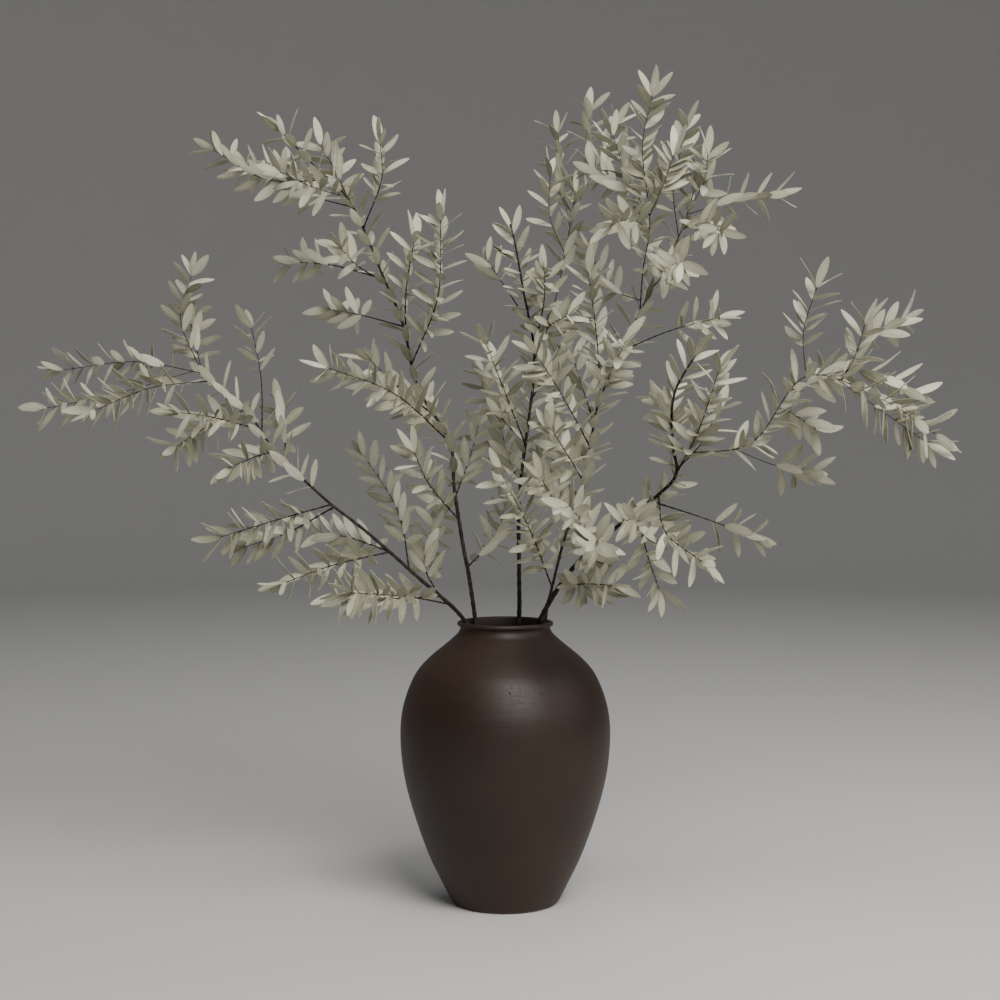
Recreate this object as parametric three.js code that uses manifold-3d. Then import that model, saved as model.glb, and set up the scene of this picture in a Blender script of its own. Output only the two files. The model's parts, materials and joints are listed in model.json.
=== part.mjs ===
// An ikebana arrangement: five dried branches with pale narrow leaves, standing in a round-shouldered
// ceramic vase. Millimetres, +Z up. The origin is the middle of the vase's base, where it rests.
import * as THREE from "three";
import { mergeVertices } from "three/addons/utils/BufferGeometryUtils.js";
import Module from "manifold-3d";

const wasm = await Module();
wasm.setup();

// ---- The vase ----
const BASE_RADIUS = 56;
const FLOOR = 9; // thickness of the clay under the inside
const LIP_RADIUS = 48.7; // to the middle of the rolled lip
const LIP_HEIGHT = 297; // to the middle of the rolled lip
const LIP_ROLL = 2.7; // half the thickness of the rolled lip
const LIP_START = -0.6 * Math.PI; // where the roll leaves the groove, round its own middle
const GROOVE_RADIUS = 47.9; // the groove just under the lip
const THROAT_RADIUS = 44.6; // inside, below the lip
const INSIDE_FLOOR_RADIUS = 38;
const VASE_SIDES = 30;
// Radius and height of points down the outside and the inside of the wall.
const OUTSIDE = [[58.6, 3], [67, 20], [81.5, 50], [96, 90], [107, 130], [111.6, 165], [111.4, 195],
  [106, 220], [95, 245], [79.5, 262], [63.5, 275], [50, 287]];
const INSIDE = [[THROAT_RADIUS, 290], [47, 282.5], [60, 270], [90, 239], [105.4, 194], [101, 132],
  [76, 55], [54, 15]];
const OUTSIDE_STEPS = 11; // straight pieces of the profile along each stretch
const INSIDE_STEPS = 6;
const LIP_STEPS = 5;

// ---- Leaves ----
const LEAF_LENGTH = 31;
const LEAF_WIDTH = 9;
const LEAF_WIDEST = 0.46; // share of its length at which a leaf is widest and thickest
const LEAF_THICKNESS = 0.9; // along its midrib
const LEAF_OUTLINE_STEPS = 3; // straight pieces along each edge of a leaf
const LEAF_VARIATION = 0.12; // share by which a leaf is longer or shorter
const LEAF_ARCH = 3; // how far the tip bends back
const LEAF_ANGLE = 52; // degrees between a leaf and its shoot
const YOUNG_LEAF_ANGLE = 38; // the youngest pair stands closer to the shoot
const TIP_LEAF_ANGLE = 6; // the leaf at the tip goes straight on
const LEAF_ANGLE_JITTER = 7; // degrees
const TIP_LEAF_AT = 0.99; // share of a shoot's length at which its tip leaf grows
const FIRST_PAIR_AT = 0.985; // and its youngest pair
const LEAF_ROLL = 25; // degrees, most that a leaf is turned about its own length
const AZIMUTH_JITTER = 14; // degrees
const PAIR_SPACING = 11; // from one pair of leaves to the next, which stands crosswise to it
const LEAVES_PER_DRAW = 6; // of every six leaves along a shoot, one is drawn and kept
const LEAF_CLEARANCE = 7; // from a leaf's midrib to anything on another branch
const LEAF_TURNS = [0, 25, -25, 50, -50, 75, -75]; // degrees, tried in turn to bend a leaf clear

// ---- Stems and shoots ----
const STEM_SIDES = 6;
const SHOOT_SIDES = 3;
const STEM_TAPER = 0.45; // share of a stem's thickness left at its tip
const SHOOT_RADIUS = 1.2;
const SHOOT_TAPER = 0.85;
const STEM_STEP = 40; // length of one straight piece of a stem
const SHOOT_STEP = 46;
const LEAFY_BARE = 0.14; // share of a leafy shoot without leaves, at its start
const WORN_BARE = 0.52; // and of a worn shoot, which has lost its inner leaves
const LEAST_PIECES = 2; // straight pieces in the shortest shoot
const FOOT_GAP = 0.3; // between a stem's cut end and the floor of the vase

// Each branch has a block of numbers for its stem and shoots, and each of these a block for its leaves.
const CHAIN_NUMBERS = 20;
const LEAF_NUMBERS = 100;
// What a repeatable number decides about a shoot or a leaf.
const TRAIT = { twist: 0, angle: 1, roll: 2, size: 3, azimuth: 4, kept: 8 };

// A side shoot with leaves along nearly all of it.
function leafy(...route) {
  return { bare: LEAFY_BARE, route };
}

// A side shoot with leaves on its outer part only.
function worn(...route) {
  return { bare: WORN_BARE, route };
}

// Each branch: its stem's radius at the foot, the share of the stem that is bare, the stem's route from the
// floor of the vase past the lip to its tip, and the side shoots. A shoot springs from the nearest point of
// what is listed before it. The routes are chosen by eye.
const BRANCHES = [
  {
    name: "branch_left",
    radius: 3.2,
    bare: 0.72,
    stem: [[4, -24, FLOOR], [-4, -16, 130], [-18, -9, 250], [-44.7, 0, 301.9], [-90, -10, 345],
      [-145, -20, 395], [-190, -15, 430], [-245, 10, 480], [-280, 30, 525], [-330, 50, 565]],
    shoots: [
      leafy([-330, 50, 565], [-405, 62, 578], [-482, 45, 568]),
      leafy([-340, 50, 565], [-420, 10, 540], [-480, -30, 525]),
      leafy([-325, 40, 555], [-375, -5, 547], [-425, -50, 522]),
      leafy([-330, 50, 565], [-357, 70, 625], [-346, 80, 675]),
      leafy([-325, 55, 568], [-347, 95, 608], [-358, 120, 640]),
      worn([-260, 20, 500], [-270, 80, 560], [-285, 110, 620]),
      leafy([-280, 30, 525], [-310, 0, 510], [-340, -50, 485]),
      leafy([-245, 10, 480], [-260, -30, 475], [-280, -60, 465]),
      leafy([-235, 5, 470], [-240, 50, 505], [-250, 80, 530]),
      leafy([-270, -5, 510], [-300, -45, 515], [-330, -80, 520]),
      leafy([-185, -15, 420], [-235, -60, 410], [-285, -100, 395]),
      leafy([-180, -15, 420], [-235, 20, 392], [-285, 60, 375]),
      leafy([-120, -15, 375], [-175, -80, 365], [-220, -120, 350]),
      leafy([-120, -15, 375], [-165, 40, 385], [-205, 80, 390]),
      leafy([-70, -5, 325], [-115, -90, 332], [-165, -150, 342]),
      worn([-60, -5, 315], [-100, -100, 335], [-150, -170, 345]),
      leafy([-100, -10, 355], [-118, 60, 415], [-160, 120, 475]),
      leafy([-75, -5, 330], [-88, 60, 360], [-72, 150, 420]),
    ],
  },
  {
    name: "branch_tall_left",
    radius: 3,
    bare: 0.5,
    stem: [[-13, -20, FLOOR], [-17, 0, 120], [-27, 22, 240], [-32.3, 27.6, 297], [-40, 30, 350],
      [-45, 30, 375], [-55, 30, 440], [-60, 35, 490], [-95, 40, 550], [-110, 40, 615],
      [-130, 30, 665], [-165, 20, 745], [-200, 5, 780], [-225, -5, 805], [-245, -10, 825]],
    shoots: [
      leafy([-55, 30, 405], [-80, -15, 445], [-95, -40, 480]),
      leafy([-60, 35, 490], [-115, -40, 540], [-180, -90, 565]),
      leafy([-80, 35, 520], [-110, -10, 545], [-140, -40, 575]),
      leafy([-40, 30, 355], [-10, 90, 385], [0, 130, 420]),
      leafy([-50, 30, 430], [-40, 95, 470], [-30, 145, 510]),
      leafy([-110, 40, 605], [-105, 0, 650], [-95, -25, 700]),
      leafy([-100, 40, 575], [-70, -40, 640], [-65, -90, 715]),
      leafy([-185, 10, 770], [-260, 50, 775], [-320, 70, 810]),
      leafy([-155, 25, 720], [-130, -10, 765], [-130, -30, 800]),
      leafy([-170, 20, 750], [-185, 60, 785], [-205, 90, 820]),
      leafy([-170, 20, 750], [-200, -25, 755], [-230, -60, 765]),
      leafy([-200, 10, 770], [-245, 70, 785], [-290, 110, 795]),
      worn([-165, 20, 740], [-200, 60, 755], [-225, 100, 770]),
      worn([-130, 30, 665], [-190, 80, 685], [-240, 120, 693]),
      worn([-110, 40, 615], [-165, 140, 635], [-205, 190, 645]),
      worn([-130, 30, 660], [-155, -10, 675], [-170, -45, 690]),
      leafy([-80, 35, 520], [-95, 140, 520], [-100, 235, 540]),
    ],
  },
  {
    name: "branch_centre",
    radius: 3.5,
    bare: 0.6,
    stem: [[-24, 4, FLOOR], [-12, 14, 120], [8, 32, 240], [15, 38.8, 297], [15, 25, 355], [15, 10, 430],
      [25, 5, 515], [30, 5, 555], [30, 10, 595], [20, -5, 645], [10, -35, 695], [5, -40, 715]],
    shoots: [
      worn([25, 5, 610], [5, 40, 650], [-20, 75, 690]),
      leafy([30, 10, 590], [40, -25, 635], [40, -60, 665]),
      leafy([20, 5, 485], [0, -45, 540], [-20, -80, 590]),
      worn([30, 10, 575], [55, 70, 645], [70, 120, 715], [80, 130, 775]),
      leafy([70, 120, 735], [65, 145, 790], [60, 155, 845]),
      worn([70, 120, 725], [95, 170, 800], [100, 205, 880]),
      leafy([15, 10, 430], [40, 70, 465], [50, 120, 510]),
      leafy([40, 70, 465], [60, 110, 465], [85, 150, 485]),
      leafy([15, 10, 445], [0, 75, 485], [-5, 115, 530]),
      leafy([20, 5, 485], [-10, 60, 525], [-25, 105, 565]),
      leafy([25, 10, 535], [45, 50, 565], [65, 80, 605]),
      leafy([30, 10, 590], [45, -30, 610], [65, -60, 620]),
      leafy([65, 110, 700], [50, 95, 740], [50, 90, 785]),
      leafy([75, 130, 760], [105, 115, 800], [125, 100, 845]),
    ],
  },
  {
    name: "branch_right",
    radius: 4,
    bare: 0.68,
    stem: [[9, 23, FLOOR], [14, 12, 130], [25, -8, 250], [36.3, -23.3, 302.2], [70, -90, 365],
      [120, -130, 415], [150, -150, 440], [165, -160, 460], [160, -170, 490], [160, -185, 535],
      [180, -200, 575]],
    shoots: [
      leafy([165, -160, 460], [180, -210, 500], [195, -240, 555]),
      leafy([160, -170, 480], [160, -140, 510], [158, -110, 530]),
      leafy([170, -160, 465], [190, -160, 490], [205, -150, 520]),
      leafy([75, -90, 365], [85, -160, 385], [85, -235, 400]),
      leafy([85, -105, 380], [75, -150, 410], [60, -190, 430]),
      leafy([55, -70, 345], [80, -130, 350], [105, -170, 352]),
      worn([140, -145, 435], [195, -110, 415], [250, -85, 395]),
      leafy([145, -150, 440], [150, -210, 405], [180, -250, 380]),
      leafy([130, -140, 425], [135, -175, 385], [145, -200, 350]),
      leafy([110, -122, 404], [118, -160, 415], [125, -200, 415]),
      leafy([175, -190, 475], [230, -215, 490], [275, -240, 550], [335, -270, 530], [385, -290, 495]),
      worn([215, -205, 480], [260, -150, 468], [305, -118, 460]),
      leafy([255, -225, 520], [275, -190, 515], [300, -160, 502]),
      leafy([275, -240, 550], [270, -255, 590], [280, -265, 630]),
      leafy([300, -255, 547], [343, -262, 516], [378, -270, 490]),
      leafy([305, -255, 545], [315, -270, 570], [320, -280, 595]),
      worn([305, -255, 545], [330, -220, 580], [375, -190, 605]),
      leafy([290, -245, 550], [330, -235, 555], [375, -225, 535]),
      leafy([260, -235, 535], [285, -205, 545], [310, -180, 555]),
    ],
  },
  {
    name: "branch_tall_right",
    radius: 2.2,
    bare: 0.45,
    stem: [[-9, 23, FLOOR], [6, 22, 120], [32, 13, 240], [42.5, 8, 297], [45, 10, 315], [50, 5, 335],
      [60, -15, 380], [70, -15, 410], [80, -10, 430], [90, 0, 485], [100, 0, 535], [125, 20, 585],
      [145, 30, 630], [175, 40, 685], [195, 45, 730], [205, 30, 770]],
    shoots: [
      leafy([50, 5, 335], [25, -70, 400], [-5, -110, 460]),
      leafy([100, 0, 540], [110, -50, 565], [120, -90, 590]),
      leafy([90, 0, 485], [60, -50, 535], [30, -90, 580]),
      leafy([100, 0, 540], [95, -30, 600], [85, -50, 665]),
      leafy([95, -5, 510], [85, 40, 545], [75, 80, 585]),
      worn([125, 20, 590], [170, -40, 605], [215, -90, 615]),
      leafy([145, 30, 630], [145, -5, 670], [150, -30, 720], [140, -55, 790], [150, -60, 845]),
      leafy([150, -30, 725], [130, 10, 770], [115, 30, 820]),
      leafy([150, -30, 725], [160, -60, 750], [170, -75, 780]),
      leafy([160, 40, 655], [170, -40, 670], [175, -100, 670]),
      leafy([190, 45, 710], [180, 20, 760], [190, 0, 820]),
      leafy([200, 40, 740], [210, 0, 765], [210, -30, 790]),
      leafy([200, 45, 735], [250, 70, 755], [300, 90, 765]),
      leafy([195, 45, 720], [210, -10, 720], [220, -60, 705]),
      leafy([145, -40, 750], [120, 0, 760], [95, 40, 785]),
      leafy([145, -30, 710], [125, -80, 715], [105, -115, 705]),
      leafy([145, 20, 640], [115, 70, 660], [95, 110, 705]),
      leafy([85, -5, 445], [65, -50, 475], [45, -80, 505]),
      leafy([65, -15, 405], [50, -60, 430], [35, -95, 455]),
    ],
  },
];

const CERAMIC = new THREE.MeshStandardMaterial({ color: 0x34251e, roughness: 0.55, metalness: 0 });
const FOLIAGE = new THREE.MeshStandardMaterial({ color: 0xb9b5a2, roughness: 0.8, metalness: 0 });

// A closed geometry as a solid that can be joined or cut.
function toSolid(geometry) {
  const bare = geometry.clone();
  bare.deleteAttribute("normal");
  bare.deleteAttribute("uv");
  const merged = mergeVertices(bare, 1e-4);
  return new wasm.Manifold(new wasm.Mesh({
    numProp: 3,
    vertProperties: merged.attributes.position.array,
    triVerts: new Uint32Array(merged.index.array),
  }));
}

// A solid as a geometry again.
function toGeometry(solid) {
  const mesh = solid.getMesh();
  const geometry = new THREE.BufferGeometry();
  geometry.setAttribute("position", new THREE.BufferAttribute(mesh.vertProperties, 3));
  geometry.setIndex(new THREE.BufferAttribute(mesh.triVerts, 1));
  geometry.computeVertexNormals();
  return geometry;
}

// A smooth line through points, in the plane of the vase's profile.
function profileLine(points, steps) {
  return new THREE.SplineCurve(points.map(([r, z]) => new THREE.Vector2(r, z))).getPoints(steps);
}

function vaseGeometry() {
  const lip = new THREE.EllipseCurve(LIP_RADIUS, LIP_HEIGHT, LIP_ROLL, LIP_ROLL, LIP_START, Math.PI);
  const profile = [
    new THREE.Vector2(0, 0),
    new THREE.Vector2(BASE_RADIUS, 0),
    ...profileLine(OUTSIDE, OUTSIDE_STEPS),
    new THREE.Vector2(GROOVE_RADIUS, LIP_HEIGHT - 2 * LIP_ROLL),
    ...lip.getPoints(LIP_STEPS),
    ...profileLine(INSIDE, INSIDE_STEPS),
    new THREE.Vector2(INSIDE_FLOOR_RADIUS, FLOOR),
    new THREE.Vector2(0, FLOOR),
  ];
  return new THREE.LatheGeometry(profile, VASE_SIDES).rotateX(Math.PI / 2);
}

// A repeatable number from -1 to 1 for each leaf or shoot and each of its traits.
function chance(number, trait) {
  const wave = Math.sin(number * 12.9898 + trait * 78.233) * 43758.5453;
  return 2 * (wave - Math.floor(wave)) - 1;
}

// A stem or shoot as a chain of straight pieces along a smooth route.
function chainAlong(route, step) {
  const curve = new THREE.CatmullRomCurve3(route, false, "catmullrom");
  const length = curve.getLength();
  const count = Math.max(LEAST_PIECES, Math.round(length / step));
  const points = curve.getSpacedPoints(count);
  const lines = points.slice(1).map((point, i) => new THREE.Line3(points[i], point));
  const chord = points[count].clone().sub(points[0]);
  const sizes = chord.toArray().map(Math.abs);
  // What grows round the chain is turned from the world direction that the chain runs along least.
  const reference = new THREE.Vector3().setComponent(sizes.indexOf(Math.min(...sizes)), 1);
  return { curve, length, count, lines, reference };
}

// Place on a chain at a share of its length, with the direction of the curve and two directions across it.
function frameAt(chain, share) {
  const piece = Math.min(Math.floor(share * chain.count), chain.count - 1);
  const place = chain.lines[piece].at(share * chain.count - piece, new THREE.Vector3());
  const along = chain.curve.getTangentAt(share);
  const across = new THREE.Vector3().crossVectors(along, chain.reference).normalize();
  const up = new THREE.Vector3().crossVectors(across, along);
  return { place, along, across, up };
}

// A tapering rod along a chain: an extruded polygon whose every section is set at its place on the chain.
function rodGeometry(chain, startRadius, endRadius, sides) {
  const corners = [...Array(sides).keys()].map((i) => {
    const angle = (i / sides) * 2 * Math.PI;
    return new THREE.Vector2(Math.cos(angle), Math.sin(angle));
  });
  const geometry = new THREE.ExtrudeGeometry(new THREE.Shape(corners), {
    depth: 1,
    steps: chain.count,
    bevelEnabled: false,
  });
  const frames = [...Array(chain.count + 1).keys()].map((i) => frameAt(chain, i / chain.count));
  const position = geometry.attributes.position;
  for (let i = 0; i < position.count; i += 1) {
    const share = position.getZ(i);
    const frame = frames[Math.round(share * chain.count)];
    const radius = THREE.MathUtils.lerp(startRadius, endRadius, share);
    const point = frame.place.clone();
    point.addScaledVector(frame.across, -position.getX(i) * radius);
    point.addScaledVector(frame.up, position.getY(i) * radius);
    position.setXYZ(i, point.x, point.y, point.z);
  }
  return geometry;
}

// One narrow leaf from its root at the origin along +X, with its upper face towards +Z and its tip arched back.
// The upper face is folded a little along the middle, and the midrib stands out as a keel underneath.
function leafGeometry(length, width) {
  const widest = LEAF_WIDEST * length;
  const outline = new THREE.Shape();
  outline.moveTo(0, 0);
  outline.quadraticCurveTo(widest, -width, length, 0);
  outline.quadraticCurveTo(widest, width, 0, 0);
  const edge = outline.getPoints(LEAF_OUTLINE_STEPS).slice(0, -1);
  const arch = (x) => -LEAF_ARCH * (x / length) ** 2;
  const positions = edge.flatMap((point) => [point.x, point.y, arch(point.x)]);
  positions.push(0, 0, -LEAF_THICKNESS, widest, 0, arch(widest) - LEAF_THICKNESS);
  const [root, lower, upper, tip, upperLeft, lowerLeft, keelRoot, keelMiddle] = edge.concat(0, 0).keys();
  const geometry = new THREE.BufferGeometry();
  geometry.setAttribute("position", new THREE.Float32BufferAttribute(positions, 3));
  geometry.setIndex([
    root, lower, lowerLeft, lower, upper, lowerLeft, upper, upperLeft, lowerLeft, upper, tip, upperLeft,
    root, keelRoot, lower, keelRoot, keelMiddle, lower, lower, keelMiddle, upper, upper, keelMiddle, tip,
    keelRoot, root, lowerLeft, keelMiddle, keelRoot, lowerLeft, keelMiddle, lowerLeft, upperLeft,
    keelMiddle, upperLeft, tip,
  ]);
  return geometry;
}

// Sets a leaf on its shoot: turned round the shoot by azimuth, leaning out by angle, rolled about itself.
function placeLeaf(frame, azimuth, angle, roll, length, width) {
  const outward = frame.across.clone().multiplyScalar(Math.cos(azimuth));
  outward.addScaledVector(frame.up, Math.sin(azimuth));
  const direction = frame.along.clone().multiplyScalar(Math.cos(angle));
  direction.addScaledVector(outward, Math.sin(angle));
  const face = frame.along.clone().multiplyScalar(Math.sin(angle));
  face.addScaledVector(outward, -Math.cos(angle));
  face.applyAxisAngle(direction, roll);
  const side = new THREE.Vector3().crossVectors(face, direction);
  const matrix = new THREE.Matrix4().makeBasis(direction, side, face).setPosition(frame.place);
  const geometry = leafGeometry(length, width).applyMatrix4(matrix);
  const tip = frame.place.clone().addScaledVector(direction, length);
  return { geometry, midrib: new THREE.Line3(frame.place, tip) };
}

// The chains of one branch: its stem, then its shoots, each starting at the nearest place on what it grew
// from. The stem's cut end stands on the floor of the vase on its lowest corner.
function branchChains(branch) {
  const stem = branch.stem.map((point) => new THREE.Vector3(...point));
  const lean = stem[1].clone().sub(stem[0]).angleTo(new THREE.Vector3(0, 0, 1));
  stem[0].z = FLOOR + FOOT_GAP + branch.radius * Math.sin(lean);
  const chains = [chainAlong(stem, STEM_STEP)];
  for (const shoot of branch.shoots) {
    const route = shoot.route.map((point) => new THREE.Vector3(...point));
    const places = chains.flatMap((chain) => chain.lines.map(
      (line) => line.closestPointToPoint(route[0], true, new THREE.Vector3())));
    places.sort((a, b) => a.distanceToSquared(route[0]) - b.distanceToSquared(route[0]));
    chains.push(chainAlong([places[0], ...route.slice(1)], SHOOT_STEP));
  }
  return chains;
}

const branches = BRANCHES.map((branch, number) => ({ ...branch, number, chains: branchChains(branch) }));
const obstacles = branches.flatMap((branch) => branch.chains.flatMap(
  (chain) => chain.lines.map((line) => ({ line, branch: branch.number }))));

// Whether a leaf's midrib keeps clear of everything on the other branches.
function isClear(midrib, branchNumber) {
  return obstacles.every((other) => other.branch === branchNumber
    || other.line.distanceSqToLine3(midrib) > LEAF_CLEARANCE ** 2);
}

// The leaves of one shoot, counted from its tip down: one at the tip, then pairs, each crosswise to the last.
// The leaf at the tip is always kept. The rest are drawn, so that every side of the shoot has some.
function leavesOf(chain, chainNumber, bareShare, branchNumber) {
  const twist = Math.PI * chance(chainNumber, TRAIT.twist);
  const count = 2 * Math.floor((chain.length * (1 - bareShare)) / PAIR_SPACING);
  const kept = [0];
  for (let i = 1; i <= count; i += LEAVES_PER_DRAW) {
    const drawn = (chance(chainNumber * LEAF_NUMBERS + i, TRAIT.kept) + 1) / 2;
    kept.push(i + Math.floor(drawn * Math.min(LEAVES_PER_DRAW, count + 1 - i)));
  }
  const leaves = [];
  for (const i of kept) {
    const pair = Math.ceil(i / 2) - 1;
    const leafNumber = chainNumber * LEAF_NUMBERS + i;
    const share = i === 0 ? TIP_LEAF_AT : FIRST_PAIR_AT - (pair * PAIR_SPACING) / chain.length;
    const frame = frameAt(chain, share);
    const leanOut = [TIP_LEAF_ANGLE, YOUNG_LEAF_ANGLE, YOUNG_LEAF_ANGLE][i] ?? LEAF_ANGLE;
    const angle = THREE.MathUtils.degToRad(leanOut + LEAF_ANGLE_JITTER * chance(leafNumber, TRAIT.angle));
    const roll = THREE.MathUtils.degToRad(LEAF_ROLL * chance(leafNumber, TRAIT.roll));
    const size = 1 + LEAF_VARIATION * chance(leafNumber, TRAIT.size);
    const sideways = 90 * pair + 180 * (i % 2) + AZIMUTH_JITTER * chance(leafNumber, TRAIT.azimuth);
    for (const turn of LEAF_TURNS) {
      const azimuth = twist + THREE.MathUtils.degToRad(sideways + turn);
      const leaf = placeLeaf(frame, azimuth, angle, roll, LEAF_LENGTH * size, LEAF_WIDTH * size);
      if (isClear(leaf.midrib, branchNumber)) {
        leaves.push(leaf);
        break;
      }
    }
  }
  return leaves;
}

// One branch as one solid: the stem, the shoots and their leaves, all grown together. Where leaves only graze
// each other the join can leave a loose scrap, so the largest piece is the branch.
function branchMesh(branch) {
  const solids = [];
  branch.chains.forEach((chain, i) => {
    const isStem = i === 0;
    const radius = isStem ? branch.radius : SHOOT_RADIUS;
    const taper = isStem ? STEM_TAPER : SHOOT_TAPER;
    solids.push(toSolid(rodGeometry(chain, radius, radius * taper, isStem ? STEM_SIDES : SHOOT_SIDES)));
    const chainNumber = branch.number * CHAIN_NUMBERS + i;
    const bareShare = isStem ? branch.bare : branch.shoots[i - 1].bare;
    for (const leaf of leavesOf(chain, chainNumber, bareShare, branch.number)) {
      obstacles.push({ line: leaf.midrib, branch: branch.number });
      solids.push(toSolid(leaf.geometry));
    }
  });
  const joined = solids.reduce((whole, solid) => whole.add(solid));
  const [largest] = joined.decompose().sort((a, b) => b.volume() - a.volume());
  const mesh = new THREE.Mesh(toGeometry(largest), FOLIAGE);
  mesh.name = branch.name;
  return mesh;
}

const vase = new THREE.Mesh(vaseGeometry(), CERAMIC);
vase.name = "vase";

const arrangement = new THREE.Group();
arrangement.name = "ikebana_arrangement";
arrangement.add(vase, ...branches.map(branchMesh));

export default arrangement;
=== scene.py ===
# %% [markdown]
# # Dried branches in a dark brown vase
# This lesson dresses a vase with five dried branches. The solids of the object are already there, at
# their real size, and every piece made here goes where they are. Lengths are in metres, Z points up,
# and the origin is the middle of the vase's base. We load those solids first, and note how large the
# whole object is.

# %% Load the frame
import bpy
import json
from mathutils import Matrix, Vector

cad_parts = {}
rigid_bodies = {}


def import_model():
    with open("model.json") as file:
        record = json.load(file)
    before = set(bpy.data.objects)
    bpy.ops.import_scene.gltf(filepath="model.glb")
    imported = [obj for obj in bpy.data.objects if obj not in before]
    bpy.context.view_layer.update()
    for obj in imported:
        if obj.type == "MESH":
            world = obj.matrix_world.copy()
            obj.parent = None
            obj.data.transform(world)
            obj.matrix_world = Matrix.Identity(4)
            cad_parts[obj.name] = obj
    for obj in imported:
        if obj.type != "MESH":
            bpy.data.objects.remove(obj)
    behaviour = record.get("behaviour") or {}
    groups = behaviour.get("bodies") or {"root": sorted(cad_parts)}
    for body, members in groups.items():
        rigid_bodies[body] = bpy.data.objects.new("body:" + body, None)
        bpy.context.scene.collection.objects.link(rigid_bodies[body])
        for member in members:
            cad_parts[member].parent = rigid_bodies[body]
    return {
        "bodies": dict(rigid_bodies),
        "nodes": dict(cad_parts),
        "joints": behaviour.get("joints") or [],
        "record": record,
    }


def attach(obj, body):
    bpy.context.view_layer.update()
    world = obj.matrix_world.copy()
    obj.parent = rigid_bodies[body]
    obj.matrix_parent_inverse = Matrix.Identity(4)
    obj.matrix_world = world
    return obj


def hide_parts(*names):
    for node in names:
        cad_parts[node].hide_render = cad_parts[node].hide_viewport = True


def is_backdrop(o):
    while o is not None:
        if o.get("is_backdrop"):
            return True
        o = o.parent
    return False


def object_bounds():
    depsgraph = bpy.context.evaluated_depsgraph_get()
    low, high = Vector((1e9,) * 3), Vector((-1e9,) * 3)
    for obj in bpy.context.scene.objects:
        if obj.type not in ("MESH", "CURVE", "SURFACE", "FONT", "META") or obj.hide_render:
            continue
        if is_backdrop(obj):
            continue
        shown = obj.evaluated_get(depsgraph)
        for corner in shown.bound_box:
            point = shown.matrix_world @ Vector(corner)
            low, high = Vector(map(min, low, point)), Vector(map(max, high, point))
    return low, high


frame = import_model()
cad_low, cad_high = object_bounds()
print("solids:", sorted(frame["nodes"]), "height", round(cad_high.z, 3))

# %% [markdown]
# The camera comes next, because every later choice is judged through it. The picture was taken from
# just under 1.8 m away with a longish lens, a little above the middle of the object and looking very
# slightly down. A camera turned by 90 degrees about X looks along +Y, so the tilt is taken off that.

# %% Place the camera
import bmesh
import bpy
import json
import math
from mathutils import Matrix, Vector, geometry, kdtree

MM = 0.001
CAMERA_PLACE = (-0.0056, -1.79, 0.490)
CAMERA_TILT = math.radians(1.97)
CAMERA_LENS = 60.7

bpy.ops.object.camera_add(location=CAMERA_PLACE, rotation=(math.pi / 2 - CAMERA_TILT, 0, 0))
camera = bpy.context.object
camera.name = "camera"
camera.data.lens = CAMERA_LENS
bpy.context.scene.camera = camera
print("camera looks down by", round(math.degrees(CAMERA_TILT), 2), "degrees")

# %% [markdown]
# ## Small helpers
# Modelling by script is modelling by hand with the mouse left out: select something, then run an
# operator on it. Operators act on all that is selected, so one helper starts every piece with nothing
# else selected, and another selects vertices by their place while we are in edit mode.

# %% Helpers for modelling


def start_piece():
    """Leaves edit mode and deselects everything, so that the next primitive is alone."""
    if bpy.context.mode != "OBJECT":
        bpy.ops.object.mode_set(mode="OBJECT")
    bpy.ops.object.select_all(action="DESELECT")


def select_where(test):
    """Selects, in edit mode, the vertices whose place passes the test, with the faces between them."""
    mesh = bpy.context.object.data
    shape = bmesh.from_edit_mesh(mesh)
    for vertex in shape.verts:
        vertex.select_set(test(vertex.co))
    shape.select_flush_mode()
    bmesh.update_edit_mesh(mesh)


def finish_piece(piece, name, material, slot, *nodes):
    """Names a finished piece, gives it its material and lets it stand for its solid."""
    piece.name = name
    piece.data.name = name
    piece.data.materials.clear()
    piece.data.materials.append(material)
    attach(piece, "root")
    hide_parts(*nodes)
    triangles = sum(len(face.vertices) - 2 for face in piece.data.polygons)
    print(name, "has", triangles, "triangles")


# What a repeatable number decides. The solids' own rule uses 8 for the leaves that it keeps.
TRAIT = {
    "twist": 0, "angle": 1, "roll": 2, "size": 3, "azimuth": 4,
    "pattern": 5, "breadth": 6, "tint": 7, "third": 9,
}


def chance(number, trait):
    """A repeatable number from -1 to 1 for each leaf or shoot and each of its traits."""
    wave = math.sin(number * 12.9898 + trait * 78.233) * 43758.5453
    return 2 * (wave - math.floor(wave)) - 1


# %% [markdown]
# ## Effects that several finishes share
# Glaze, bark and leaf all need cloudy patches of colour, and glaze and bark both have small spots:
# pinholes in the one, pores in the other. Each effect is a node group, built once and given its own
# values wherever it is used. A group puts out only masks and heights, and the shader itself stays in
# the material.

# %% Node helpers


def add_node(tree, kind, place, **settings):
    """Adds a node and sets its plain settings."""
    node = tree.nodes.new(kind)
    node.location = (place[0] * 200, place[1] * -180)
    for name, value in settings.items():
        setattr(node, name, value)
    return node


def new_group(name, inputs):
    """An empty node group with number inputs, a Vector input first and a Mask output."""
    tree = bpy.data.node_groups.new(name, "ShaderNodeTree")
    tree.interface.new_socket("Vector", in_out="INPUT", socket_type="NodeSocketVector")
    for title, value in inputs.items():
        socket = tree.interface.new_socket(title, in_out="INPUT", socket_type="NodeSocketFloat")
        socket.default_value = value
    tree.interface.new_socket("Mask", in_out="OUTPUT", socket_type="NodeSocketFloat")
    return tree, add_node(tree, "NodeGroupInput", (0, 0)), add_node(tree, "NodeGroupOutput", (5, 0))


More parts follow.
